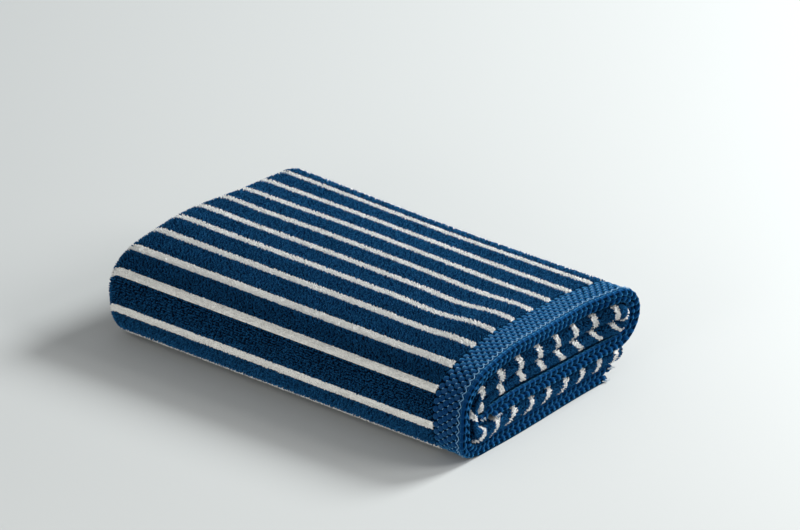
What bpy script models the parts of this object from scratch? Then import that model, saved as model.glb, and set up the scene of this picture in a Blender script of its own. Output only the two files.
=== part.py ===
"""A striped hand towel, folded: in half twice along its length, then in three across its width.

The flat cloth is one grid. Its length runs to and fro through four plies between a left and a right
end. Its width runs through a section that wraps those four plies three times over: along the
underside, up the closed front, back over the top, down the back and in again as the middle layer.
Metres, +Z up, standing on its flat underside, with the origin under the middle.
"""

import math
from collections import namedtuple

import bmesh
import bpy

MM = 0.001

# The cloth and the stack it makes: three layers of four plies
PLY_THICKNESS = 3.8 * MM
PLY_PITCH = 5.2 * MM
LAYERS = 3
PLIES = 4
INNER_DEPTH = PLIES - 1
STACK_HEIGHT = (LAYERS * PLIES - 1) * PLY_PITCH + PLY_THICKNESS
NAVY = (0.012, 0.045, 0.115, 1.0)
ROUGHNESS = 0.95

# The section: where its two turns are centred, as a distance back from a line near the closed front
FRONT_CENTRE_Y = 23.0 * MM
BACK_CENTRE_Y = 146.5 * MM
FRONT_RADIUS = 5.5 * PLY_PITCH
BACK_RADIUS = 3.5 * PLY_PITCH
SQUARENESS = 3.0

# A run is one stretch of the section, in millimetres. The outer ply is drawn tight round a turn and
# the inner ones bunch up in it, so its cloth is given for both. A flat run also has its reach for each
# ply, from the outer one in. Steps are the facets across it.
Run = namedtuple("Run", "name outer_cloth inner_cloth reaches steps")
RUNS = (
    Run("underside", 108, 136, (119, 125, 130, 134), 4),
    Run("lower front", 39.5, 33, (), 7),
    Run("upper front", 39.5, 18, (), 7),
    Run("top", 123.5, 123.5, (123.5, 123.5, 123.5, 123.5), 5),
    Run("back turn", 50, 20, (), 11),
    Run("middle layer", 107, 137, (115, 129, 130, 130), 8),
)

# Past the outer ply's free edge the rest of the middle layer droops
DROOP = 3.0 * MM
DROOP_FROM_Y = 31.5 * MM
DROOP_REACH = 11.0 * MM

# Where the folded ends lie, in millimetres, against the cloth's width from the underside's free edge,
# and how far the terry fold at the right end lies inside the outer hem there
End = namedtuple("End", "place left_x right_x fold_inset")
ENDS = (
    End(0, -270, -4.5, -1.0),
    End(105, -275, 1, 0.5),
    End(142, -279, 4, 1.0),
    End(172, -282, 1, 0.5),
    End(222, -279, 0, 0),
    End(282, -272, -2, 0),
    End(317, -270, 3, 0),
    End(362, -268, 0, 2.0),
    End(500, -270, 0, 2.0),
)

# The under hem lies a little inside the outer hem, and plies deeper than this end in the terry fold
UNDER_HEM_INSET = 1.0 * MM
FOLDED_DEPTH = 1.5
TIGHT_BEND_THICKNESS = 0.55
STEPS_LONG = 8
STEPS_WIDE_BEND = 8
STEPS_TIGHT_BEND = 6

# The front of the stack sags, and its hem end is drawn in above its foot because the hems are flat and
# thin. There the plies of the lowest layer lie closer, most of all at the front
SAG = 8.5 * MM
SAG_REACH = 58.0 * MM
HEM_WIDTH = 21.0 * MM
HEM_DROP = 0.6 * MM
HEM_DRAW_IN = 4.0 * MM
DRAW_IN_REACH = 30.0 * MM
FOOT_SHARE = 0.5
PRESS = 1.8 * MM
PRESS_SPREAD = 0.35
PRESS_REACH = 60.0 * MM

# Soft ridges and troughs of the top, in millimetres: the place, how far each reaches, and its lift
Crease = namedtuple("Crease", "x y reach_x reach_y lift")
CREASES = (
    Crease(-34, 66, 16, 34, 2.2),
    Crease(-68, 60, 18, 30, -1.2),
    Crease(-258, 80, 16, 30, 1.2),
    Crease(-175, 98, 85, 32, 2.2),
    Crease(-135, 158, 90, 30, -2.4),
    Crease(6, 152, 22, 30, 1.8),
)

# A station along the towel's length: its share of the way to the left end, its depth in plies below
# the outer one, how far it stands off that place, and how thick the cloth is there
Station = namedtuple("Station", "left_share depth offset fullness")


def smooth_step(value):
    """0 to 1, with a soft start and end."""
    value = min(max(value, 0.0), 1.0)
    return value * value * (3 - 2 * value)


def end_places(place):
    """The left end, the right end and the right fold's inset at one place across the cloth."""
    for end, following in zip(ENDS, ENDS[1:]):
        if place <= following.place * MM:
            break
    share = smooth_step((place / MM - end.place) / (following.place - end.place))
    left_x = end.left_x + (following.left_x - end.left_x) * share
    right_x = end.right_x + (following.right_x - end.right_x) * share
    fold_inset = end.fold_inset + (following.fold_inset - end.fold_inset) * share
    return left_x * MM, right_x * MM, fold_inset * MM


def squared(angle):
    """How far a squared turn stands outside a circle at one angle."""
    corner = abs(math.sin(angle)) ** SQUARENESS + abs(math.cos(angle)) ** SQUARENESS
    return corner ** (-1 / SQUARENESS)


def reach_of(run, depth):
    """How far a flat run reaches at a depth, which may lie between two plies."""
    ply = min(int(depth), INNER_DEPTH - 1)
    return (run.reaches[ply] + (run.reaches[ply + 1] - run.reaches[ply]) * (depth - ply)) * MM


def section_point(place, depth):
    """Where a place across the cloth lies in the section, for a ply that many below the outer one."""
    start = 0.0
    for run in RUNS:
        cloth = (run.outer_cloth + (run.inner_cloth - run.outer_cloth) * depth / INNER_DEPTH) * MM
        if place <= start + cloth or run is RUNS[-1]:
            break
        start += cloth
    share = (place - start) / cloth
    underside_z = PLY_THICKNESS / 2 + PLY_PITCH * depth
    top_z = STACK_HEIGHT - underside_z
    middle_z = underside_z + PLY_PITCH * PLIES
    front_radius = FRONT_RADIUS - PLY_PITCH * depth
    if run.name == "underside":
        return FRONT_CENTRE_Y + reach_of(run, depth) * (1 - share), underside_z
    if run.name == "lower front":
        angle = math.pi / 2 * share
        radius = front_radius * squared(angle)
        return FRONT_CENTRE_Y - radius * math.sin(angle), STACK_HEIGHT / 2 - radius * math.cos(angle)
    if run.name == "upper front":
        angle = math.pi / 2 * share
        return (
            FRONT_CENTRE_Y - front_radius * math.cos(angle),
            STACK_HEIGHT / 2 + front_radius * math.sin(angle),
        )
    if run.name == "top":
        return FRONT_CENTRE_Y + reach_of(run, depth) * share, top_z
    if run.name == "back turn":
        radius = BACK_RADIUS - PLY_PITCH * depth
        angle = math.pi * share
        return BACK_CENTRE_Y + radius * math.sin(angle), (top_z + middle_z) / 2 + radius * math.cos(angle)
    y = BACK_CENTRE_Y - reach_of(run, depth) * share
    return y, middle_z - DROOP * min(1.0, depth) * smooth_step((DROOP_FROM_Y - y) / DROOP_REACH)


def places_across():
    """Where the grid has its lines across the width, set by the outer ply's runs."""
    places = [0.0]
    for run in RUNS:
        start = places[-1]
        places += [start + run.outer_cloth * MM * step / run.steps for step in range(1, run.steps + 1)]
    return places


def straight(start, end, depth, inset):
    """Stations along one ply, from one share of the way to the left end to another."""
    shares = [start + (end - start) * step / STEPS_LONG for step in range(STEPS_LONG + 1)]
    return [Station(share, depth, -inset * (1 - share), 1) for share in shares]


def bend(side, depth_from, depth_to, inset, steps):
    """The stations within a half turn at one end, between two plies: squared and pinched where it is tight."""
    middle = (depth_from + depth_to) / 2
    radius = PLY_PITCH * abs(depth_to - depth_from) / 2
    left_share = 1 if side == "left" else 0
    outward = -1 if side == "left" else 1
    tight = radius < PLY_PITCH
    fullness = TIGHT_BEND_THICKNESS if tight else 1
    stations = []
    for step in range(1, steps):
        angle = math.pi * step / steps
        stretch = squared(angle) if tight else 1
        depth = middle + (depth_from - middle) * math.cos(angle) * stretch
        offset = outward * radius * math.sin(angle) * stretch - inset
        stations.append(Station(left_share, depth, offset, fullness))
    return stations


def stations_along():
    """The whole length: outer hem, wide left bend, right bend, tight left bend, under hem."""
    fold_nose = (PLY_PITCH + PLY_THICKNESS) / 2
    return [
        *straight(0, 1, 0, 0),
        *bend("left", 0, 3, 0, STEPS_WIDE_BEND),
        *straight(1, 0, 3, fold_nose),
        *bend("right", 3, 2, fold_nose, STEPS_TIGHT_BEND),
        *straight(0, 1, 2, fold_nose),
        *bend("left", 2, 1, 0, STEPS_TIGHT_BEND),
        *straight(1, 0, 1, UNDER_HEM_INSET),
    ]


def settled(x, y, z):
    """The stack's own unevenness: its sagging front, its drawn-in hem end and the creases of its top."""
    rise = z - PLY_THICKNESS / 2
    height = rise / STACK_HEIGHT
    hem = smooth_step(1 + x / HEM_WIDTH)
    drop = SAG * smooth_step(1 - y / SAG_REACH) + HEM_DROP * hem
    draw_in = HEM_DRAW_IN * hem * smooth_step(1 - y / DRAW_IN_REACH) * min(1.0, height / FOOT_SHARE)
    layer = PLY_PITCH * INNER_DEPTH
    pressed = max(0.0, min(rise / layer, 2 - rise / layer))
    press = PRESS * hem * pressed * (PRESS_SPREAD + (1 - PRESS_SPREAD) * smooth_step(1 - y / PRESS_REACH))
    lift = 0.0
    for crease in CREASES:
        across = (x / MM - crease.x) / crease.reach_x
        along = (y / MM - crease.y) / crease.reach_y
        lift += crease.lift * MM * math.exp(-across * across - along * along)
    return x, y + draw_in, z - drop * height - press + lift * height * height


def folded_point(place, station):
    """Where one point of the flat cloth lies once the towel is folded."""
    left_x, right_x, fold_inset = end_places(place)
    if station.depth > FOLDED_DEPTH:
        right_x -= fold_inset
    bend_centre = left_x + PLY_THICKNESS / 2 + PLY_PITCH * INNER_DEPTH / 2
    x = bend_centre * station.left_share + right_x * (1 - station.left_share) + station.offset
    y, z = section_point(place, station.depth)
    return settled(x, y, z)


def make_towel(name):
    """The flat grid, laid in its folds, with the thickness of its pile."""
    stations = stations_along()
    places = places_across()
    cloth = bmesh.new()
    weights = cloth.verts.layers.deform.new()
    segments_long = len(stations) - 1
    segments_wide = len(places) - 1
    bmesh.ops.create_grid(cloth, x_segments=segments_long, y_segments=segments_wide, size=0.5)
    for vert in cloth.verts:
        station = stations[round((vert.co.x + 0.5) * segments_long)]
        place = places[round((vert.co.y + 0.5) * segments_wide)]
        vert.co = folded_point(place, station)
        vert[weights][0] = station.fullness
    mesh = bpy.data.meshes.new(name)
    cloth.to_mesh(mesh)
    cloth.free()
    mesh.shade_smooth()
    towel = bpy.data.objects.new(name, mesh)
    towel.vertex_groups.new(name="fullness")
    pile = towel.modifiers.new("Pile", "SOLIDIFY")
    pile.thickness = PLY_THICKNESS
    pile.offset = 0
    pile.vertex_group = "fullness"
    return towel


def make_terry(name):
    """The towel's ground colour, with no shine."""
    material = bpy.data.materials.new(name)
    material.use_nodes = True
    surface = material.node_tree.nodes["Principled BSDF"]
    surface.inputs["Base Color"].default_value = NAVY
    surface.inputs["Roughness"].default_value = ROUGHNESS
    return material


def stand_on_origin(towel):
    """Moves the towel so that its origin is under the middle of its box."""
    graph = bpy.context.evaluated_depsgraph_get()
    corners = towel.evaluated_get(graph).bound_box
    lows = [min(corner[axis] for corner in corners) for axis in range(3)]
    highs = [max(corner[axis] for corner in corners) for axis in range(3)]
    towel.location = (-(lows[0] + highs[0]) / 2, -(lows[1] + highs[1]) / 2, -lows[2])


def main():
    for leftover in list(bpy.data.objects):
        bpy.data.objects.remove(leftover)
    collection = bpy.data.collections.new("folded_towel")
    bpy.context.scene.collection.children.link(collection)
    towel = make_towel("towel")
    collection.objects.link(towel)
    towel.data.materials.append(make_terry("terry"))
    stand_on_origin(towel)


main()
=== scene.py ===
"""A striped terry hand towel, folded, with its loops, woven hems and cut ends.

The flat cloth is described by two numbers: its place across the width, in millimetres from the free edge
under the stack, and its turn along the length, which counts the four plies and the three bends
between them from 0 at the outer hem to 7 at the under hem. Every piece is laid on the folded cloth from
these two numbers.
"""

import math
from collections import namedtuple

import bpy
import numpy as np
from bpy.props import FloatProperty, FloatVectorProperty, IntProperty, PointerProperty
from bpy.types import Operator, Panel, PropertyGroup
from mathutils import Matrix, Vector


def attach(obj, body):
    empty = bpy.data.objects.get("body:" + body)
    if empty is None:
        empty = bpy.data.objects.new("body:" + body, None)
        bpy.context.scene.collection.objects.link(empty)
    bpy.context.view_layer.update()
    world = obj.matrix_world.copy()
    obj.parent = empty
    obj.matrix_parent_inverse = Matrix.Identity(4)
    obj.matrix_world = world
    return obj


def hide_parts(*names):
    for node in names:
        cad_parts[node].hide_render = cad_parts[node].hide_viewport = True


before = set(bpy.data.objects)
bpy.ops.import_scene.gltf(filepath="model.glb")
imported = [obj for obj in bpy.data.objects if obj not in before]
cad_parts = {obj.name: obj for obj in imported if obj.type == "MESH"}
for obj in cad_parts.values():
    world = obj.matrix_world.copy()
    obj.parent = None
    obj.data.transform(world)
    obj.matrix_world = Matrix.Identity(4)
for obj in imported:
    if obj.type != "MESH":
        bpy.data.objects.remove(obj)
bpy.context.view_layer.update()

bl_info = {
    "name": "Folded striped towel",
    "version": (1, 0, 0),
    "blender": (4, 5, 0),
    "location": "View3D > Sidebar > Towel",
    "description": "Makes the loops, hems and cut ends of a folded terry towel",
    "category": "Object",
}

MM = 0.001
SEED = 11

# Where the folding's own zero stands in the room, and how far everything keeps off the floor
STAND = np.array((138.9, -79.45, 0.0))
FLOOR_GAP = 0.02

# The folds, in millimetres: three layers of four plies
PLY_THICKNESS = 3.8
PLY_PITCH = 5.2
LAYERS = 3
PLIES = 4
INNER_DEPTH = PLIES - 1
STACK_HEIGHT = (LAYERS * PLIES - 1) * PLY_PITCH + PLY_THICKNESS
FRONT_CENTRE_Y = 23.0
BACK_CENTRE_Y = 146.5
FRONT_RADIUS = 5.5 * PLY_PITCH
BACK_RADIUS = 3.5 * PLY_PITCH
SQUARENESS = 3.0

# A run's cloth in the outer and the inner ply, and how far a flat run reaches for each ply
Run = namedtuple("Run", "name outer_cloth inner_cloth reaches")
RUNS = (
    Run("underside", 108, 136, (119, 125, 130, 134)),
    Run("lower front", 39.5, 33, (0, 0, 0, 0)),
    Run("upper front", 39.5, 18, (0, 0, 0, 0)),
    Run("top", 123.5, 123.5, (123.5, 123.5, 123.5, 123.5)),
    Run("back turn", 50, 20, (0, 0, 0, 0)),
    Run("middle layer", 107, 137, (115, 129, 130, 130)),
)
CLOTH_WIDTH = sum(run.outer_cloth for run in RUNS)
TOP_START = sum(run.outer_cloth for run in RUNS[:3])
BACK_TURN_START = TOP_START + RUNS[3].outer_cloth
DROOP = 3.0
DROOP_FROM_Y = 31.5
DROOP_REACH = 11.0

End = namedtuple("End", "place left_x right_x fold_inset")
ENDS = (
    End(0, -270, -4.5, -1.0),
    End(105, -275, 1, 0.5),
    End(142, -279, 4, 1.0),
    End(172, -282, 1, 0.5),
    End(222, -279, 0, 0),
    End(282, -272, -2, 0),
    End(317, -270, 3, 0),
    End(362, -268, 0, 2.0),
    End(500, -270, 0, 2.0),
)
FOLD_INSET = (PLY_PITCH + PLY_THICKNESS) / 2
FOLDED_DEPTH = 1.5
UNDER_HEM_INSET = 1.0
LEG = 262.0

SAG = 8.5
SAG_REACH = 58.0
HEM_SETTLE_WIDTH = 21.0
HEM_DROP = 0.6
HEM_DRAW_IN = 4.0
DRAW_IN_REACH = 30.0
FOOT_SHARE = 0.5
PRESS = 1.8
PRESS_SPREAD = 0.35
PRESS_REACH = 60.0

Crease = namedtuple("Crease", "x y reach_x reach_y lift")
CREASES = (
    Crease(-34, 66, 16, 34, 2.2),
    Crease(-68, 60, 18, 30, -1.2),
    Crease(-258, 80, 16, 30, 1.2),
    Crease(-175, 98, 85, 32, 2.2),
    Crease(-135, 158, 90, 30, -2.4),
    Crease(6, 152, 22, 30, 1.8),
)

# A stretch is one ply or bend along the length: its depth in plies and its share of the way to the
# left end at its start and end, the radius of a bend (0 for a ply) and how far in its right end lies
Stretch = namedtuple("Stretch", "depth_from depth_to share_from share_to radius inset")
WIDE_BEND = 1.5 * PLY_PITCH
TIGHT_BEND = 0.5 * PLY_PITCH
STRETCHES = (
    Stretch(0, 0, 0, 1, 0, 0),
    Stretch(0, 3, 1, 1, WIDE_BEND, 0),
    Stretch(3, 3, 1, 0, 0, FOLD_INSET),
    Stretch(3, 2, 0, 0, TIGHT_BEND, FOLD_INSET),
    Stretch(2, 2, 0, 1, 0, FOLD_INSET),
    Stretch(2, 1, 1, 1, TIGHT_BEND, 0),
    Stretch(1, 1, 1, 0, 0, UNDER_HEM_INSET),
)
STRETCH_LENGTHS = [s.radius * math.pi if s.radius else LEG for s in STRETCHES]
CLOTH_LENGTH = sum(STRETCH_LENGTHS)

# Middles of the pale stripes across the cloth, in millimetres: even under the stack, and drawn apart
# where the cloth goes over the front
STRIPE_PLACES = (
    5.9, 23.0, 40.1, 57.2, 74.3, 91.4, 108.5, 126.2, 142.7, 165.5, 181.3, 201.1, 219.2, 237.6,
    255.6, 273.1, 291.1, 308.7, 320.7, 335.0, 352.5, 370.0, 387.5, 405.5, 425.0, 445.0, 465.0,
)  # fmt: skip

# How far the ground cloth stands off its own middle: bare, under loops, at the woven hem, in a bend
BARE_HALF = 1.9
LOOPED_HALF = 1.0
HEM_FACE_HALF = 0.9
HEM_BACK_HALF = 0.8
TIGHT_HALF = 0.9

# Where the good face is looped, and how softly its thickness changes, in millimetres or turns
TURN_SOFT = 0.01
LOOPED_PLACES = (113, 357)
LOOPED_SOFT = 6
LOOPED_BENDS = ((0.99, 2.03), (2.93, 4.04))
REST_HEIGHT = 2.6
REST_SOFT = 0.7

# The small steps to either side that the cloth's directions are taken from
PLACE_STEP = 0.2
TURN_STEP = 0.001

# Where loops stand: a patch of the cloth, the rows along its length and how straight they lie
Patch = namedtuple("Patch", "name place_from place_to turn_from turn_to rows turning")
PATCHES = (
    Patch("front", 109, TOP_START, 0.081, 1.0, 190, 0.9),
    Patch("top", TOP_START, BACK_TURN_START, 0.081, 1.0, 190, 0.9),
    Patch("back", BACK_TURN_START, 360, 0.081, 1.0, 100, 0.9),
    Patch("left", 0, CLOTH_WIDTH, 1.0, 2.0, 16, 0.9),
    Patch("left", 0, CLOTH_WIDTH, 2.0, 2.03, 5, 0.6),
    Patch("right", 0, CLOTH_WIDTH, 2.93, 3.0, 12, 0.5),
    Patch("right", 0, CLOTH_WIDTH, 3.0, 4.0, 13, 0.5),
    Patch("right", 0, CLOTH_WIDTH, 4.0, 4.04, 7, 0.5),
)


class TowelCloth(PropertyGroup):
    """The cloth's colours, stripes and hem"""

    # The pile blends from navy to navy_light: partly a random tone from loop to loop, partly painted shade at
    # the loops' feet and painted highlights on their crowns. navy_light also colours the navy selvedge.
    navy: FloatVectorProperty(
        name="Navy", description="The dark pile", subtype="COLOR", default=(0.0002, 0.002, 0.008)
    )
    navy_light: FloatVectorProperty(
        name="Navy, lit", description="The lighter loops", subtype="COLOR", default=(0.002, 0.034, 0.115)
    )
    cream: FloatVectorProperty(
        name="Cream", description="The pale stripes", subtype="COLOR", default=(0.97, 0.965, 0.92)
    )
    stripe_rows: IntProperty(name="Pale rows", description="Rows of loops in a pale stripe", default=4)
    repeat_rows: IntProperty(name="Rows in all", description="Rows from one stripe to the next", default=16)
    hem_width: FloatProperty(name="Hem width", description="The woven hem", default=0.021, unit="LENGTH")


class TowelPile(PropertyGroup):
    """The terry loops"""

    loop_height: FloatProperty(
        name="Loop height", description="Above the ground", default=0.0010, unit="LENGTH"
    )
    loop_width: FloatProperty(name="Loop width", description="Across one loop", default=0.0011, unit="LENGTH")
    yarn: FloatProperty(name="Yarn radius", description="Of the pile yarn", default=0.00044, unit="LENGTH")
    lean: FloatProperty(name="Lean", description="How unevenly the loops lean", default=0.10)


class TowelHem(PropertyGroup):
    """The woven hem and its thread"""

    blue: FloatVectorProperty(
        name="Hem blue", description="The woven hem", subtype="COLOR", default=(0.001, 0.026, 0.105)
    )
    thread: FloatVectorProperty(
        name="Thread", description="The light thread in the hem", subtype="COLOR", default=(0.13, 0.28, 0.44)
    )
    bead: FloatProperty(name="Bead pitch", description="Along the hem", default=0.0046, unit="LENGTH")
    column: FloatProperty(name="Column pitch", description="Across the hem", default=0.0029, unit="LENGTH")
    roll: FloatProperty(name="Edge radius", description="Of the rolled edge", default=0.0023, unit="LENGTH")


class TowelStage(PropertyGroup):
    """The floor, the camera and the lights"""

    floor: FloatVectorProperty(
        name="Floor", description="Floor colour", subtype="COLOR", default=(0.53, 0.543, 0.54)
    )
    azimuth: FloatProperty(
        name="Azimuth", description="Camera", default=math.radians(40), unit="ROTATION"
    )
    elevation: FloatProperty(
        name="Elevation", description="Camera", default=math.radians(26), unit="ROTATION"
    )
    lens: FloatProperty(name="Lens", description="Focal length in millimetres", default=900.0)
    key: FloatProperty(name="Key light", description="Power in watts", default=48.0)
    side: FloatProperty(name="Side light", description="Power in watts", default=6.5)
    fill: FloatProperty(name="Fill light", description="Power in watts", default=4.2)


class Number:
    """A socket that takes part in sums. Each operator adds its Math node."""

    def __init__(self, finish, socket):
        self.finish = finish
        self.socket = socket

    def sum(self, operation, first, second):
        return self.finish.number("ShaderNodeMath", {"operation": operation}, {0: first, 1: second})

    def __add__(self, other):
        return self.sum("ADD", self, other)

    __radd__ = __add__

    def __sub__(self, other):
        return self.sum("SUBTRACT", self, other)

    def __rsub__(self, other):
        return self.sum("SUBTRACT", other, self)

    def __mul__(self, other):
        return self.sum("MULTIPLY", self, other)

    __rmul__ = __mul__

    def __mod__(self, other):
        return self.sum("FLOORED_MODULO", self, other)

    def __lt__(self, other):
        return self.sum("LESS_THAN", self, other)

    def __gt__(self, other):
        return self.sum("GREATER_THAN", self, other)

    def __abs__(self):
        return self.sum("ABSOLUTE", self, 0.0)


class Finish:
    """A material in the making."""

    def __init__(self, name, **fixed):
        self.material = bpy.data.materials.new(name)
        self.material.use_nodes = True
        self.nodes = self.material.node_tree.nodes
        self.surface = self.nodes["Principled BSDF"]
        for socket, value in fixed.items():
            self.surface.inputs[socket.replace("_", " ")].default_value = value

    def feed(self, socket, value):
        """Links a socket to its source, or sets its value."""
        value = getattr(value, "socket", value)
        if isinstance(value, bpy.types.NodeSocket):
            self.material.node_tree.links.new(value, socket)
        else:
            socket.default_value = value

    def add(self, kind, settings, sockets):
        """Any node: its type, its settings, then the values or links of its sockets."""
        node = self.nodes.new(kind)
        for setting, value in settings.items():
            setattr(node, setting, value)
        for socket, value in sockets.items():
            self.feed(node.inputs[socket], value)
        return node

    def number(self, kind, settings, sockets, output=0):
        return Number(self, self.add(kind, settings, sockets).outputs[output])

    def noise(self, size, detail=2.0):
        """Soft noise with spots of about that size, in metres."""
        spot = self.add("ShaderNodeTexCoord", {}, {}).outputs["Object"]
        return self.number("ShaderNodeTexNoise", {}, {"Vector": spot, "Scale": 1 / size, "Detail": detail})

    def stored(self, name):
        """A number stored on the mesh."""
        return self.number("ShaderNodeAttribute", {"attribute_name": name}, {}, "Fac")

    def blend(self, factor, first, second):
        """One colour over another."""
        mix = self.add("ShaderNodeMix", {"data_type": "RGBA"}, {0: factor, 6: first, 7: second})
        return mix.outputs[2]

    def paint(self, colour):
        self.feed(self.surface.inputs["Base Color"], colour)

    def emboss(self, height, depth):
        """Fine relief, its depth in metres."""
        bump = self.add("ShaderNodeBump", {}, {"Height": height, "Distance": depth, "Strength": 1.0})
        self.feed(self.surface.inputs["Normal"], bump.outputs[0])


def solid(colour, strength=1.0):
    """A colour with its alpha, made lighter or darker."""
    return (*(min(1.0, part * strength) for part in colour[:3]), 1.0)


def smooth_step(value):
    """0 to 1, with a soft start and end."""
    value = np.clip(value, 0.0, 1.0)
    return value * value * (3 - 2 * value)


def end_places(place):
    """The left end, the right end and the right fold's inset at places across the cloth."""
    starts = [end.place for end in ENDS]
    index = np.clip(np.searchsorted(starts, place) - 1, 0, len(ENDS) - 2)
    table = np.array(ENDS, float)
    low, high = table[index], table[index + 1]
    share = smooth_step((place - low[..., 0]) / (high[..., 0] - low[..., 0]))[..., None]
    ends = low + (high - low) * share
    return ends[..., 1], ends[..., 2], ends[..., 3]


def squared(angle):
    """How far a squared turn stands outside a circle at an angle."""
    corner = np.abs(np.sin(angle)) ** SQUARENESS + np.abs(np.cos(angle)) ** SQUARENESS
    return corner ** (-1 / SQUARENESS)


def run_points(run, share, depth):
    """Where shares of one run lie in the section."""
    under = PLY_THICKNESS / 2 + PLY_PITCH * depth
    top = STACK_HEIGHT - under
    middle = under + PLY_PITCH * PLIES
    front_radius = FRONT_RADIUS - PLY_PITCH * depth
    reach = np.interp(depth, range(PLIES), run.reaches)
    quarter = math.pi / 2 * share
    if run.name == "underside":
        return FRONT_CENTRE_Y + reach * (1 - share), under
    if run.name == "lower front":
        radius = front_radius * squared(quarter)
        return FRONT_CENTRE_Y - radius * np.sin(quarter), STACK_HEIGHT / 2 - radius * np.cos(quarter)
    if run.name == "upper front":
        y = FRONT_CENTRE_Y - front_radius * np.cos(quarter)
        return y, STACK_HEIGHT / 2 + front_radius * np.sin(quarter)
    if run.name == "top":
        return FRONT_CENTRE_Y + reach * share, top
    if run.name == "back turn":
        radius = BACK_RADIUS - PLY_PITCH * depth
        return BACK_CENTRE_Y + radius * np.sin(2 * quarter), (top + middle) / 2 + radius * np.cos(2 * quarter)
    y = BACK_CENTRE_Y - reach * share
    return y, middle - DROOP * np.minimum(1.0, depth) * smooth_step((DROOP_FROM_Y - y) / DROOP_REACH)


def section_points(place, depth):
    """Where places across the cloth lie in the section, for plies that many below the outer one."""
    start = np.zeros_like(place)
    y = np.zeros_like(place)
    z = np.zeros_like(place)
    for run in RUNS:
        cloth = run.outer_cloth + (run.inner_cloth - run.outer_cloth) * depth / INNER_DEPTH
        share = (place - start) / cloth
        found_y, found_z = run_points(run, share, depth)
        here = (share > 0) | (run is RUNS[0])
        y = np.where(here, found_y, y)
        z = np.where(here, found_z, z)
        start = start + cloth
    return y, z


def settled(x, y, z):
    """The stack's own unevenness: its sagging front, its drawn-in hem end and the creases of its top."""
    rise = z - PLY_THICKNESS / 2
    height = rise / STACK_HEIGHT
    hem = smooth_step(1 + x / HEM_SETTLE_WIDTH)
    drop = SAG * smooth_step(1 - y / SAG_REACH) + HEM_DROP * hem
    draw_in = HEM_DRAW_IN * hem * smooth_step(1 - y / DRAW_IN_REACH) * np.minimum(1.0, height / FOOT_SHARE)
    layer = PLY_PITCH * INNER_DEPTH
    pressed = np.clip(np.minimum(rise / layer, 2 - rise / layer), 0.0, None)
    press = PRESS * hem * pressed * (PRESS_SPREAD + (1 - PRESS_SPREAD) * smooth_step(1 - y / PRESS_REACH))
    lift = np.zeros_like(x)
    for crease in CREASES:
        across = (x - crease.x) / crease.reach_x
        along = (y - crease.y) / crease.reach_y
        lift = lift + crease.lift * np.exp(-across * across - along * along)
    return np.stack([x, y + draw_in, z - drop * height - press + lift * height * height], axis=-1)


def laid(place, turn):
    """Points of the folded cloth's middle, from places across it and turns along it."""
    place, turn = np.broadcast_arrays(np.asarray(place, float), np.asarray(turn, float))
    index = np.clip(np.floor(turn).astype(int), 0, len(STRETCHES) - 1)
    table = np.array(STRETCHES, float)[index]
    depth_from, depth_to, share_from, share_to, radius, inset = np.moveaxis(table, -1, 0)
    along = turn - index
    angle = math.pi * along
    tight = np.abs(depth_to - depth_from) == 1
    stretch = np.where(tight, squared(angle), 1.0)
    depth = (depth_from + depth_to) / 2 + (depth_from - depth_to) / 2 * np.cos(angle) * stretch
    share = share_from + (share_to - share_from) * along
    left_x, right_x, fold_inset = end_places(place)
    right_x = right_x - np.where(depth > FOLDED_DEPTH, fold_inset, 0.0)
    bend_centre = left_x + PLY_THICKNESS / 2 + WIDE_BEND
    outward = np.where(share > 0.5, -1.0, 1.0)
    x = bend_centre * share + right_x * (1 - share) - inset * (1 - share)
    x = x + outward * radius * np.sin(angle) * stretch
    y, z = section_points(place, depth)
    return settled(x, y, z)


def unit(vectors):
    """The same directions, one long."""
    return vectors / np.maximum(np.linalg.norm(vectors, axis=-1, keepdims=True), 1e-9)


def laid_frame(place, turn):
    """Points of the cloth with its directions there: across it, along it and out of its good face."""
    place, turn = np.broadcast_arrays(np.asarray(place, float), np.asarray(turn, float))
    turn = np.clip(turn, 2 * TURN_STEP, len(STRETCHES) - 2 * TURN_STEP)
    across = unit(laid(place + PLACE_STEP, turn) - laid(place - PLACE_STEP, turn))
    along = unit(laid(place, turn + TURN_STEP) - laid(place, turn - TURN_STEP))
    outward = unit(np.cross(across, along))
    return laid(place, turn), across, along, outward


def band(value, low, high, soft):
    """1 between two values, falling softly to 0 outside them."""
    return smooth_step((value - low) / soft + 1) * smooth_step((high - value) / soft + 1)


def hem_turns():
    """The woven hem's share of a ply."""
    return bpy.context.scene.towel_cloth.hem_width / MM / LEG


def in_tight_bend(turn):
    """1 in the two narrow bends along the length."""
    return np.maximum(band(turn, 3.0, 4.0, TURN_SOFT), band(turn, 5.0, 6.0, TURN_SOFT))


def halves(place, turn, points, outward):
    """How far the good face and the back stand off the cloth's middle."""
    hem = hem_turns() - TURN_SOFT
    last = len(STRETCHES)
    woven = np.maximum(band(turn, -1, hem, TURN_SOFT), band(turn, last - hem, last + 1, TURN_SOFT))
    outer = band(turn, -1, 1.0, 2 * TURN_SOFT) * band(place, *LOOPED_PLACES, LOOPED_SOFT)
    left_bend, right_bend = (band(turn, *turns, TURN_SOFT) for turns in LOOPED_BENDS)
    looped = np.maximum(outer, np.maximum(left_bend, right_bend))
    good = BARE_HALF + (LOOPED_HALF - BARE_HALF) * looped
    good = good + (HEM_FACE_HALF - good) * woven
    back = BARE_HALF + (HEM_BACK_HALF - BARE_HALF) * woven
    back = back + (TIGHT_HALF - back) * in_tight_bend(turn)
    good = good + (TIGHT_HALF - good) * band(turn, 5.0, 6.0, TURN_SOFT)
    resting = smooth_step((REST_HEIGHT - points[..., 2]) / REST_SOFT) * (outward[..., 2] < 0)
    return good + (BARE_HALF - good) * resting, back


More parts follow.
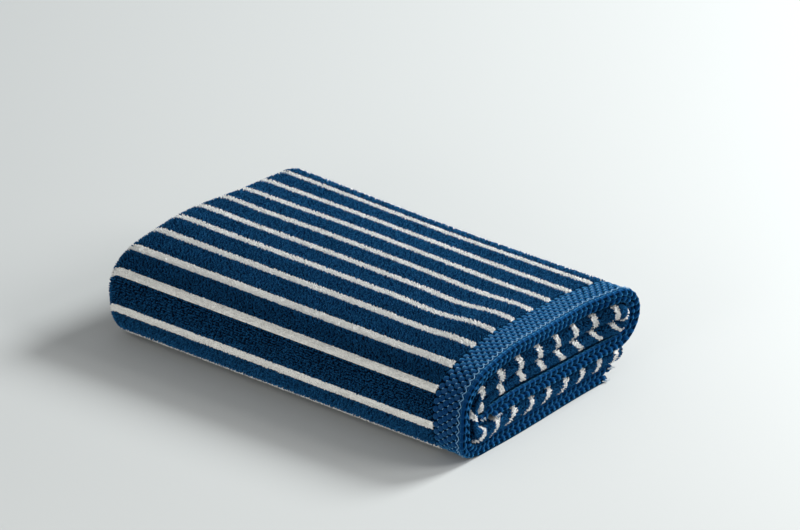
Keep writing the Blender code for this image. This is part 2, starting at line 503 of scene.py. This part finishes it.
def stripe_number(place):
    """The stripe count at places across the cloth: whole at the middle of each pale stripe."""
    places = np.array(STRIPE_PLACES)
    first, last = places[0], places[-1]
    pitch = places[1] - places[0]
    inside = np.interp(place, places, np.arange(len(places)))
    inside = np.where(place < first, (place - first) / pitch, inside)
    return np.where(place > last, len(places) - 1 + (place - last) / pitch, inside)


def stripe_place(number):
    """The place across the cloth of a stripe count."""
    places = np.array(STRIPE_PLACES)
    pitch = places[1] - places[0]
    inside = np.interp(number, np.arange(len(places)), places)
    inside = np.where(number < 0, places[0] + number * pitch, inside)
    return np.where(number > len(places) - 1, places[-1] + (number - len(places) + 1) * pitch, inside)


def piece_from(name, points, faces, materials, numbers=None, face_materials=None):
    """An object from an array of points, in the folding's millimetres, and one of four-cornered faces."""
    points = points.reshape(-1, 3).copy()
    points[:, 2] = np.maximum(points[:, 2], FLOOR_GAP)
    places = (points + STAND) * MM
    mesh = bpy.data.meshes.new(name)
    mesh.vertices.add(len(places))
    mesh.vertices.foreach_set("co", places.astype(np.float32).ravel())
    mesh.loops.add(faces.size)
    mesh.loops.foreach_set("vertex_index", faces.astype(np.int32).ravel())
    mesh.polygons.add(len(faces))
    mesh.polygons.foreach_set("loop_start", np.arange(0, faces.size, faces.shape[1], dtype=np.int32))
    mesh.update(calc_edges=True)
    mesh.shade_smooth()
    for material in materials:
        mesh.materials.append(material)
    if face_materials is not None:
        mesh.polygons.foreach_set("material_index", face_materials.astype(np.int32))
    for label, values in (numbers or {}).items():
        stored = mesh.attributes.new(label, "FLOAT", "POINT")
        stored.data.foreach_set("value", np.asarray(values, np.float32).ravel())
    piece = bpy.data.objects.new(name, mesh)
    bpy.context.scene.collection.objects.link(piece)
    return piece


def dress(piece):
    """Every piece moves with the towel."""
    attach(piece, "root")


def tube_faces(count, rings, sides):
    """The faces of many tubes of equal length, as corners of a run of points."""
    tube, ring, side = np.meshgrid(np.arange(count), np.arange(rings - 1), np.arange(sides), indexing="ij")
    here = (tube * rings + ring) * sides
    following = (side + 1) % sides
    corners = [here + side, here + following, here + sides + following, here + sides + side]
    return np.stack(corners, axis=-1).reshape(-1, 4)


def tubes(paths, radii, sides, side_ways):
    """Points round many paths. side_ways is a direction across: one for each path or one for each point."""
    run = unit(np.gradient(paths, axis=1))
    first = np.broadcast_to(side_ways if side_ways.ndim == 3 else side_ways[:, None], paths.shape)
    second = unit(np.cross(run, first))
    first = unit(np.cross(second, run))
    angles = 2 * math.pi * np.arange(sides) / sides
    round_first = np.cos(angles)[None, None, :, None]
    round_second = np.sin(angles)[None, None, :, None]
    radii = np.broadcast_to(radii, paths.shape[:2] + (sides,))[..., None]
    return paths[:, :, None] + radii * (first[:, :, None] * round_first + second[:, :, None] * round_second)


# One loop of pile yarn: how far each point stands to the side, how high, and how far it is twisted
ARCH = np.array(((-0.5, -0.3, -0.2), (0.0, 1.0, 0.0), (0.5, -0.3, 0.2)))
YARN_SIDES = 3
EDGE_MARGIN = 0.6


def loop_points(pile, place, turn, turning, chance):
    """The points of loops that stand at these places of the cloth, one arch of yarn each."""
    points, across, along, outward = laid_frame(place, turn)
    good, _ = halves(place, turn, points, outward)
    count = len(points)
    yaw = chance.normal(0, turning, count)[:, None]
    lean = chance.normal(0, pile.lean, (count, 2))
    up = unit(outward + across * lean[:, :1] + along * lean[:, 1:])
    wide = unit(across * np.cos(yaw) + along * np.sin(yaw))
    deep = unit(np.cross(up, wide))
    height = pile.loop_height / MM * chance.uniform(0.82, 1.18, (count, 1))
    width = pile.loop_width / MM * chance.uniform(0.8, 1.2, (count, 1))
    foot = points + outward * good[:, None]
    paths = (
        foot[:, None]
        + wide[:, None] * (ARCH[None, :, 0:1] * width[:, None])
        + up[:, None] * (ARCH[None, :, 1:2] * height[:, None])
        + deep[:, None] * (ARCH[None, :, 2:3] * width[:, None])
    )
    radius = pile.yarn / MM * chance.uniform(0.85, 1.15, (count, 1, 1))
    return tubes(paths, radius, YARN_SIDES, deep)


# How unevenly loops stand along and across the cloth, as shares of a row: wilder in the right folds
EVEN_SLACK = (0.3, 0.14)
LOOP_SLACK = {"right": (0.45, 0.42)}


def loop_grid(patch, cloth, chance):
    """Where the loops of one patch stand, and which of them are pale."""
    repeat = cloth.repeat_rows
    first = math.ceil(stripe_number(np.array(float(patch.place_from))) * repeat - 0.5)
    last = math.ceil(stripe_number(np.array(float(patch.place_to))) * repeat - 0.5)
    rows = np.arange(first, last)
    steps = (np.arange(patch.rows) + 0.5) / patch.rows
    row, step = np.meshgrid(rows, steps, indexing="ij")
    row = row.ravel()
    stagger = 0.5 / patch.rows * (row % 2)
    slack, spread = LOOP_SLACK.get(patch.name, EVEN_SLACK)
    share = step.ravel() + stagger + chance.normal(0, slack / patch.rows, row.size)
    turn = patch.turn_from + (patch.turn_to - patch.turn_from) * np.clip(share, 0, 1)
    place = stripe_place((row + 0.5 + chance.normal(0, spread, row.size)) / repeat)
    number = (row + 0.5) / repeat
    pale = np.abs(number - np.round(number)) < cloth.stripe_rows / repeat / 2
    return np.clip(place, EDGE_MARGIN, CLOTH_WIDTH - EDGE_MARGIN), turn, pale


# The tint of the soft sheen on the pile, the ground and the hem
PILE_SHEEN = (0.05, 0.31, 0.72, 1.0)
GROUND_SHEEN = (0.04, 0.34, 0.84, 1.0)
HEM_SHEEN = (0.10, 0.52, 1.0, 1.0)


def pile_finish(name, dark, light, sheen, bump):
    """Cotton pile: each loop a little lighter or darker at random, with painted highlights on the crowns and
    painted shade at the feet, soft patches and fine fibres.
    """
    finish = Finish(
        name, Roughness=0.95, Specular_IOR_Level=0.0, Sheen_Weight=1.0, Sheen_Roughness=0.5, Sheen_Tint=sheen
    )
    # The stored value mixes each loop's random tone with painted crown highlights and painted shade at the
    # feet.
    tone = finish.stored("tone") * 0.62 + finish.noise(0.03) * 0.38
    fibre = finish.noise(0.0008, 3.0)
    finish.paint(finish.blend(tone * (fibre * 2.0), solid(dark), solid(light)))
    finish.emboss(fibre, bump)
    return finish.material


def ground_finish(cloth):
    """The woven ground: the same stripes, a plain hem and a fine weave."""
    finish = Finish(
        "ground_cloth", Roughness=0.95, Specular_IOR_Level=0.0, Sheen_Weight=0.25, Sheen_Roughness=0.5,
        Sheen_Tint=GROUND_SHEEN,
    )  # fmt: skip
    stripe = finish.stored("stripe")
    hem = finish.stored("hem") > 0.5
    half = cloth.stripe_rows / cloth.repeat_rows / 2
    pale = (abs((stripe + 0.5) % 1.0 - 0.5) < half) * (1.0 - hem)
    weave = finish.noise(0.0011, 3.0)
    navy = finish.blend(weave, solid(cloth.navy, 0.55), solid(cloth.navy))
    cream = finish.blend(weave, solid(cloth.cream, 0.8), solid(cloth.cream))
    finish.paint(finish.blend(pale, navy, cream))
    finish.emboss(weave, 0.0004)
    return finish.material


def hem_finish(hem):
    """Woven hem: blue yarn, lighter on the crowns, partly the light thread showing there and partly a painted
    highlight.
    """
    finish = Finish(
        "hem_weave", Roughness=0.9, Specular_IOR_Level=0.0, Sheen_Weight=0.8, Sheen_Roughness=0.45,
        Sheen_Tint=HEM_SHEEN,
    )  # fmt: skip
    crown_light = finish.stored("tone")
    fibre = finish.noise(0.0006, 3.0)
    blue = finish.blend(fibre * 0.7 + finish.noise(0.02) * 0.3, solid(hem.blue, 0.6), solid(hem.blue, 1.25))
    # The crowns are painted toward the thread colour: partly the light thread, partly a painted highlight.
    finish.paint(finish.blend(crown_light * crown_light * 0.15, blue, solid(hem.thread, 0.8)))
    finish.emboss(fibre, 0.0003)
    return finish.material


def thread_finish(name, colour):
    """Plain dull thread."""
    finish = Finish(name, Roughness=0.7)
    finish.paint(finish.blend(finish.noise(0.0008), solid(colour, 0.6), solid(colour, 1.2)))
    return finish.material


def floor_finish(stage):
    """A pale floor, hardly uneven."""
    finish = Finish("pale_floor", Roughness=0.75)
    finish.paint(finish.blend(finish.noise(0.8), solid(stage.floor, 0.985), solid(stage.floor)))
    return finish.material


# Lines of the ground's grid across the cloth, and how far in from its edges it thins
GROUND_LINES = 206
EDGE_TAPER = 2.5


def turns_along():
    """Lines of the ground's grid along the length: close in the bends and at the hems."""
    ply = np.concatenate([np.linspace(0, 0.09, 8), np.linspace(0.12, 0.88, 20), np.linspace(0.91, 1.0, 6)])
    return_ply = 1 - ply[::-1]
    bends = np.linspace(0, 1, 11)
    wide = np.linspace(0, 1, 17)
    parts = [ply, 1 + wide, 2 + return_ply, 3 + bends, 4 + ply, 5 + bends, 6 + return_ply]
    return np.unique(np.round(np.concatenate(parts), 6))


class TOWEL_OT_ground(Operator):
    """Lays the woven ground of the towel in its folds"""

    bl_idname = "towel.ground"
    bl_label = "Ground cloth"

    def execute(self, context):
        turns = turns_along()
        places = np.linspace(0, CLOTH_WIDTH, GROUND_LINES)
        place, turn = np.meshgrid(places, turns, indexing="ij")
        points, _, _, outward = laid_frame(place, turn)
        good, back = halves(place, turn, points, outward)
        taper = smooth_step(np.minimum(place, CLOTH_WIDTH - place) / EDGE_TAPER) * 0.5 + 0.5
        faces_up = points + outward * (good * taper)[..., None]
        faces_down = points - outward * (back * taper)[..., None]
        wide, long = place.shape
        index = np.arange(wide * long).reshape(wide, long)
        a, b, c, d = index[:-1, :-1], index[1:, :-1], index[1:, 1:], index[:-1, 1:]
        top = np.stack([a, b, c, d], axis=-1).reshape(-1, 4)
        bottom = np.stack([d, c, b, a], axis=-1).reshape(-1, 4) + wide * long
        rim = np.concatenate([index[0, :], index[1:, -1], index[-1, -2::-1], index[-2:0:-1, 0]])
        following = np.roll(rim, -1)
        under = wide * long
        edge = np.stack([rim, following, following + under, rim + under], axis=-1)
        hem = hem_turns()
        woven = ((turn < hem) | (turn > len(STRETCHES) - hem)).astype(float)
        numbers = {
            "stripe": np.tile(stripe_number(place).ravel(), 2),
            "hem": np.tile(woven.ravel(), 2),
        }
        cloth = piece_from(
            "ground_cloth",
            np.concatenate([faces_up.reshape(-1, 3), faces_down.reshape(-1, 3)]),
            np.concatenate([top, bottom, edge]),
            [ground_finish(context.scene.towel_cloth)],
            numbers,
        )
        dress(cloth)
        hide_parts("towel")
        return {"FINISHED"}


class TOWEL_OT_pile(Operator):
    """Raises the terry loops wherever the good face shows"""

    bl_idname = "towel.pile"
    bl_label = "Terry loops"

    def execute(self, context):
        scene = context.scene
        cloth, pile = scene.towel_cloth, scene.towel_pile
        chance = np.random.default_rng(SEED)
        # A shaded and a lit copy of the cream: painted shade at the loops' feet and painted highlights on
        # their crowns, with each loop's random tone between them.
        shade, lit_cream = solid(cloth.cream, 0.8), solid(cloth.cream, 1.15)
        navy = pile_finish("navy_pile", cloth.navy, cloth.navy_light, PILE_SHEEN, 0.0009)
        cream = pile_finish("cream_pile", shade, lit_cream, solid(cloth.cream), 0.0004)
        heaps = {}
        for patch in PATCHES:
            place, turn, pale = loop_grid(patch, cloth, chance)
            points = loop_points(pile, place, turn, patch.turning, chance)
            part = "sides" if patch.name in ("front", "back") else patch.name
            heaps.setdefault("pile_" + part, []).append(points[~pale])
            heaps.setdefault("stripes_" + part, []).append(points[pale])
        for name, parts in heaps.items():
            points = np.concatenate(parts)
            count, rings, sides, _ = points.shape
            # Each loop's random tone; the painted crown highlight is added next, and the feet stay darker as
            # painted shade.
            tone = np.repeat(chance.uniform(0, 1, count), rings * sides)
            crown_light = np.tile(np.repeat(np.clip(ARCH[:, 1], 0, 1), sides), count)
            finish = cream if name.startswith("stripes") else navy
            heap = piece_from(
                name, points, tube_faces(count, rings, sides), [finish], {"tone": 0.5 * tone + 0.5 * crown_light}
            )
            dress(heap)
        return {"FINISHED"}


# The woven hem's beads: where they run across the cloth, their half axes along and across their slant
WOVEN_FROM = 92
WOVEN_TO = 370
WOVEN_MARGIN = 5.0
BEAD_HALF_LENGTH = 2.1
BEAD_HALF_WIDTH = 2.0
BEAD_AROUND = 10
BEAD_RINGS = 5
BEAD_SLANT = 0.84
BEAD_TIP = 0.48 * math.pi
BEAD_SQUARENESS = 0.75

# The rolled edge: how far its beads sink, their slope, and their width and the core's as shares of its radius
ROLL_RINGS = 7
ROLL_DROP = 0.45
ROLL_SLANT = 0.85
ROLL_WIDTH = 0.8
CORE_SHARE = 0.72
CORE_RINGS = 300
CORE_SIDES = 8

# The light thread: its height over the hem's face, its radius, and the zigzag's two distances inward
FLOAT_LIFT = 0.62
FLOAT_RADIUS = 0.2
ZIGZAG_LIFT = 1.1
ZIGZAG_WAVE = 0.25
ZIGZAG_RADIUS = 0.24
ZIGZAG_AWAY = (5.3, 3.4)


def ovals(centre, axes, rings, around, low):
    """Points of rounded beads, from their centres and three half axes, the last one pointing up."""
    rise = np.linspace(low, BEAD_TIP, rings)[:, None]
    angle = 2 * math.pi * np.arange(around) / around
    wide = np.sign(np.cos(rise)) * np.abs(np.cos(rise)) ** BEAD_SQUARENESS
    shares = (wide * np.cos(angle), wide * np.sin(angle), np.broadcast_to(np.sin(rise), (rings, around)))
    made = centre[:, None, None]
    for share, axis in zip(shares, axes):
        made = made + axis[:, None, None] * share[None, ..., None]
    return made, np.broadcast_to(np.sin(rise)[None], made.shape[:3])


class TOWEL_OT_hems(Operator):
    """Weaves the beaded band of the hem and rolls its two edges"""

    bl_idname = "towel.hems"
    bl_label = "Woven hems"

    def execute(self, context):
        scene = context.scene
        hem, cloth = scene.towel_hem, scene.towel_cloth
        chance = np.random.default_rng(SEED + 1)
        weave = hem_finish(hem)
        thread = thread_finish("hem_thread", solid(hem.thread, 1.4))
        self.beads(hem, cloth, weave, chance)
        self.edge("outer_edge", 0, hem, weave, chance)
        self.edge("under_edge", len(STRETCHES), hem, weave, chance)
        self.floats(hem, cloth, thread, chance)
        self.zigzag(hem, thread)
        return {"FINISHED"}

    @staticmethod
    def lattice(hem, cloth, chance, margin):
        """The woven band's grid: places across the towel and distances from the hem's edge."""
        bead, column = hem.bead / MM, hem.column / MM
        columns = np.arange(margin, cloth.hem_width / MM - 1.0, column)
        places = np.arange(WOVEN_FROM, WOVEN_TO, bead)
        number, place = np.meshgrid(np.arange(len(columns)), places, indexing="ij")
        inward = columns[number]
        place = place + bead * 0.5 * (number % 2)
        place = place + chance.normal(0, 0.15, place.shape)
        return place.ravel(), inward.ravel() + chance.normal(0, 0.1, place.size)

    def beads(self, hem, cloth, weave, chance):
        """The band's slanted beads."""
        place, inward = self.lattice(hem, cloth, chance, WOVEN_MARGIN)
        points, across, along, outward = laid_frame(place, inward / LEG)
        slant = unit(across * BEAD_SLANT - along)
        beside = unit(np.cross(outward, slant))
        foot = points + outward * (HEM_FACE_HALF - 0.1)
        tall = chance.uniform(0.75, 0.95, (len(points), 1))
        axes = (slant * BEAD_HALF_LENGTH, beside * BEAD_HALF_WIDTH, outward * tall)
        # The beads are painted lighter toward their crowns, partly the light thread and partly a painted
        # highlight, each bead by a random amount.
        made, tone = ovals(foot, axes, BEAD_RINGS, BEAD_AROUND, 0.0)
        tone = np.clip(tone, 0, 1) * chance.uniform(0.5, 1.0, (len(made), 1, 1))
        faces = tube_faces(len(made), BEAD_RINGS, BEAD_AROUND)
        dress(piece_from("hem_beads", made, faces, [weave], {"tone": tone}))

    @staticmethod
    def edge(name, turn, hem, weave, chance):
        """The rolled edge of one hem: a row of plump tilted beads round a core."""
        radius = hem.roll / MM
        pitch = hem.bead / MM
        inset = radius / LEG
        start = inset if turn == 0 else turn - inset
        place = np.arange(pitch / 2, CLOTH_WIDTH, pitch)
        place = place + chance.normal(0, 0.15, place.shape)
        points, across, along, outward = laid_frame(place, np.full(place.shape, start))
        points = points - outward * ROLL_DROP
        edgeward = -along if turn == 0 else along
        tilt = unit(outward - across * ROLL_SLANT)
        beside = unit(across + outward * ROLL_SLANT)
        tall = radius * chance.uniform(1.1, 1.25, (len(points), 1))
        axes = (beside * radius * ROLL_WIDTH, edgeward * radius, tilt * tall)
        # The rolled beads are painted lighter toward their tips, partly the light thread and partly a painted
        # highlight.
        made, tone = ovals(points, axes, ROLL_RINGS, BEAD_AROUND, -BEAD_TIP)
        tone = np.clip(tone * 0.5 + 0.1, 0, 1) * chance.uniform(0.6, 1.0, (len(made), 1, 1))
        faces = tube_faces(len(made), ROLL_RINGS, BEAD_AROUND)
        dress(piece_from(name, made, faces, [weave], {"tone": tone}))
        place = np.linspace(0, CLOTH_WIDTH, CORE_RINGS)
        points, _, _, outward = laid_frame(place, np.full(place.shape, start))
        made = tubes(points[None], radius * CORE_SHARE, CORE_SIDES, outward[None])
        faces = tube_faces(1, CORE_RINGS, CORE_SIDES)
        dress(piece_from(name + "_core", made, faces, [weave], {"tone": np.zeros(made.shape[:3])}))

    def floats(self, hem, cloth, thread, chance):
        """Light thread that surfaces between the beads."""
        place, inward = self.lattice(hem, cloth, chance, WOVEN_MARGIN + hem.column / MM / 2)
        place = place + hem.bead / MM * 0.25
        points, across, along, outward = laid_frame(place, inward / LEG)
        way = unit(-along + across * chance.uniform(0.6, 1.4, (len(place), 1)))
        foot = points + outward * (HEM_FACE_HALF + FLOAT_LIFT)
        reach = chance.uniform(0.45, 0.8, (len(place), 1))
        steps = np.array((-1.0, 0.0, 1.0))[None, :, None]
        arch = np.array((-0.35, 0.12, -0.35))[None, :, None]
        paths = foot[:, None] + way[:, None] * reach[:, None] * steps + outward[:, None] * arch
        made = tubes(paths, FLOAT_RADIUS, 4, outward)
        dress(piece_from("hem_floats", made, tube_faces(len(made), 3, 4), [thread]))

    @staticmethod
    def zigzag(hem, thread):
        """Light thread that runs to and fro beside the edge."""
        pitch = hem.bead / MM
        corner = np.arange(WOVEN_FROM, WOVEN_TO, pitch / 2)
        fine = np.linspace(corner[0], corner[-1], len(corner) * 4 - 3)
        away = np.interp(fine, corner, np.take(ZIGZAG_AWAY, np.arange(len(corner)) % 2))
        points, _, _, outward = laid_frame(fine, away / LEG)
        wave = ZIGZAG_WAVE * np.cos(fine * 4 * math.pi / pitch)[:, None]
        path = points + outward * (HEM_FACE_HALF + ZIGZAG_LIFT + wave)
        made = tubes(path[None], ZIGZAG_RADIUS, 5, outward[None])
        dress(piece_from("hem_zigzag", made, tube_faces(1, len(fine), 5), [thread]))


# The bound edges: how far in they lie, their step along, radius and how much thinner they bend
SELVEDGE_INSET = 0.9
SELVEDGE_STEP = 0.9
SELVEDGE_RADIUS = 1.45
SELVEDGE_THINNER = 0.5
SELVEDGE_SIDES = 8

# The bundles of cut threads at the corners: place, turn and which way they lean
CutEnd = namedtuple("CutEnd", "place turn lean")
CUT_ENDS = (
    CutEnd(1.5, 0.004, 1),
    CutEnd(1.5, 6.996, 1),
    CutEnd(CLOTH_WIDTH - 2.5, 0.004, -1),
    CutEnd(CLOTH_WIDTH - 2.5, 6.996, -1),
)
CUT_THREADS = 9
CUT_RADII = (0.26, 0.26, 0.22, 0.05)


class TOWEL_OT_selvedges(Operator):
    """Binds the two free edges and frays their corners"""

    bl_idname = "towel.selvedges"
    bl_label = "Selvedges and cut ends"

    def execute(self, context):
        scene = context.scene
        cloth, hem = scene.towel_cloth, scene.towel_hem
        navy = thread_finish("navy_selvedge", cloth.navy_light)
        cream = thread_finish("cream_selvedge", cloth.cream)
        self.selvedge("free_selvedge", SELVEDGE_INSET, navy)
        self.selvedge("inner_selvedge", CLOTH_WIDTH - SELVEDGE_INSET, cream)
        self.frayed(thread_finish("frayed_blue", hem.thread), cream)
        return {"FINISHED"}

    @staticmethod
    def selvedge(name, place, finish):
        """One bound edge, all along the folds."""
        turns = np.unique(
            np.concatenate([
                number + np.linspace(0, 1, max(8, round(length / SELVEDGE_STEP)))
                for number, length in enumerate(STRETCH_LENGTHS)
            ])
        )
        places = np.full(turns.shape, place)
        points, across, _, outward = laid_frame(places, turns)
        angle = 2 * math.pi * np.arange(SELVEDGE_SIDES) / SELVEDGE_SIDES
        wave = 0.85 + 0.2 * np.sin(np.arange(len(turns))[:, None] * 2.1 + angle[None])
        radii = (SELVEDGE_RADIUS - SELVEDGE_THINNER * in_tight_bend(turns))[:, None] * wave
        made = (
            points[:, None]
            + across[:, None] * (radii * np.cos(angle))[..., None]
            + outward[:, None] * (radii * np.sin(angle))[..., None]
        )
        dress(piece_from(name, made, tube_faces(1, len(turns), SELVEDGE_SIDES), [finish]))

    @staticmethod
    def frayed(blue, cream):
        """Short cut threads at the corners of the cloth."""
        chance = np.random.default_rng(SEED + 2)
        paths, pale = [], []
        for end in CUT_ENDS:
            spread = end.place + np.linspace(-1.6, 2.6, CUT_THREADS)
            points, across, along, outward = laid_frame(spread, np.full(CUT_THREADS, end.turn))
            edgeward = -along if end.turn < 1 else along
            stray = chance.normal(0, 0.12, (CUT_THREADS, 3))
            way = unit(edgeward - across * 0.5 * end.lean + stray)
            steps = np.linspace(-0.5, 3.2, 4)[None, :, None] * chance.uniform(0.7, 1.1, (CUT_THREADS, 1, 1))
            paths.append(points[:, None] + way[:, None] * steps + outward[:, None] * 0.4)
            pale.append(np.arange(CUT_THREADS) % 2 == 0)
        paths = np.concatenate(paths)
        pale = np.concatenate(pale)
        radii = np.array(CUT_RADII)[None, :, None]
        made = tubes(paths, radii, 5, np.broadcast_to(np.array((0.3, 0.5, 0.8)), (len(paths), 3)))
        faces = tube_faces(len(made), 4, 5)
        each = len(faces) // len(made)
        dress(piece_from("cut_ends", made, faces, [blue, cream], face_materials=np.repeat(pale, each)))


# The soft lights, their places and sizes in metres
Lamp = namedtuple("Lamp", "name place size colour")
LAMPS = (
    Lamp("key", (0.47, 1.50, 1.05), 0.65, (0.97, 1.0, 1.0)),
    Lamp("side", (0.86, 0.55, 0.66), 0.5, (1.0, 1.0, 0.99)),
    Lamp("fill", (0.20, -1.05, 0.29), 0.6, (1.0, 0.98, 0.93)),
)
STUDIO_COLOUR = (0.95, 0.98, 1.0, 1.0)
STUDIO_STRENGTH = 0.37
FLOOR_HALF = 12.0

# The picture in pixels: its middle, where the near corner of the towel shows, and a pixel's millimetres
PICTURE_MIDDLE = (400, 265)
CORNER_SEEN = (463.3, 463.7)
PIXEL = 0.602


class TOWEL_OT_stage(Operator):
    """Sets the floor, the soft lights and the camera"""

    bl_idname = "towel.stage"
    bl_label = "Floor, lights and camera"

    def execute(self, context):
        scene = context.scene
        stage = scene.towel_stage
        self.floor(stage)
        self.camera(scene, stage)
        for lamp in LAMPS:
            self.light(lamp, getattr(stage, lamp.name))
        world = bpy.data.worlds.new("studio")
        world.use_nodes = True
        backdrop = world.node_tree.nodes["Background"].inputs
        backdrop["Color"].default_value = STUDIO_COLOUR
        backdrop["Strength"].default_value = STUDIO_STRENGTH
        scene.world = world
        scene.view_settings.view_transform = "Standard"
        return {"FINISHED"}

    @staticmethod
    def floor(stage):
        mesh = bpy.data.meshes.new("floor")
        sides = ((-1, -1), (1, -1), (1, 1), (-1, 1))
        corners = [(FLOOR_HALF * x, FLOOR_HALF * y, 0) for x, y in sides]
        mesh.from_pydata(corners, [], [(0, 1, 2, 3)])
        mesh.materials.append(floor_finish(stage))
        floor = bpy.data.objects.new("floor", mesh)
        bpy.context.scene.collection.objects.link(floor)

    @staticmethod
    def camera(scene, stage):
        across = Vector((math.cos(stage.azimuth), math.sin(stage.azimuth), 0))
        level = Vector((math.sin(stage.azimuth), -math.cos(stage.azimuth), 0))
        toward = level * math.cos(stage.elevation) + Vector((0, 0, math.sin(stage.elevation)))
        up = toward.cross(across)
        pixel = PIXEL * MM
        right, down = CORNER_SEEN
        middle_right, middle_down = PICTURE_MIDDLE
        corner = Vector(STAND * MM)
        aim = corner - across * (right - middle_right) * pixel + up * (down - middle_down) * pixel
        data = bpy.data.cameras.new("camera")
        data.lens = stage.lens
        data.clip_end = 60
        camera = bpy.data.objects.new("camera", data)
        distance = 2 * middle_right * pixel * stage.lens / data.sensor_width
        camera.location = aim + toward * distance
        camera.rotation_euler = toward.to_track_quat("Z", "Y").to_euler()
        scene.collection.objects.link(camera)
        scene.camera = camera

    @staticmethod
    def light(lamp, power):
        data = bpy.data.lights.new(lamp.name, "AREA")
        data.shape = "DISK"
        data.size = lamp.size
        data.energy = power
        data.color = lamp.colour
        light = bpy.data.objects.new(lamp.name, data)
        light.location = lamp.place
        light.rotation_euler = Vector(lamp.place).to_track_quat("Z", "Y").to_euler()
        bpy.context.scene.collection.objects.link(light)


class TOWEL_PT_sidebar(Panel):
    """The towel's buttons and sizes"""

    bl_idname = "TOWEL_PT_sidebar"
    bl_label = "Folded towel"
    bl_space_type = "VIEW_3D"
    bl_region_type = "UI"
    bl_category = "Towel"

    def draw(self, context):
        for operator in OPERATORS:
            self.layout.operator(operator.bl_idname)
        for label in SETTINGS:
            group = getattr(context.scene, label)
            box = self.layout.box()
            for name in group.__annotations__:
                box.prop(group, name)


SETTINGS = {
    "towel_cloth": TowelCloth,
    "towel_pile": TowelPile,
    "towel_hem": TowelHem,
    "towel_stage": TowelStage,
}
OPERATORS = (TOWEL_OT_ground, TOWEL_OT_pile, TOWEL_OT_hems, TOWEL_OT_selvedges, TOWEL_OT_stage)


def register():
    for made in (*SETTINGS.values(), *OPERATORS, TOWEL_PT_sidebar):
        bpy.utils.register_class(made)
    for label, group in SETTINGS.items():
        setattr(bpy.types.Scene, label, PointerProperty(type=group))


def unregister():
    for label in SETTINGS:
        delattr(bpy.types.Scene, label)
    for made in (TOWEL_PT_sidebar, *reversed(OPERATORS), *reversed(list(SETTINGS.values()))):
        bpy.utils.unregister_class(made)


def clear_start_objects():
    """Takes away what Blender starts with."""
    for name in ("Cube", "Light", "Camera"):
        leftover = bpy.data.objects.get(name)
        if leftover is not None:
            bpy.data.objects.remove(leftover)


def main():
    clear_start_objects()
    register()
    bpy.ops.towel.ground()
    bpy.ops.towel.pile()
    bpy.ops.towel.hems()
    bpy.ops.towel.selvedges()
    bpy.ops.towel.stage()
    CLOTH_WIDTH * MM
    CLOTH_LENGTH * MM


if __name__ == "__main__":
    main()
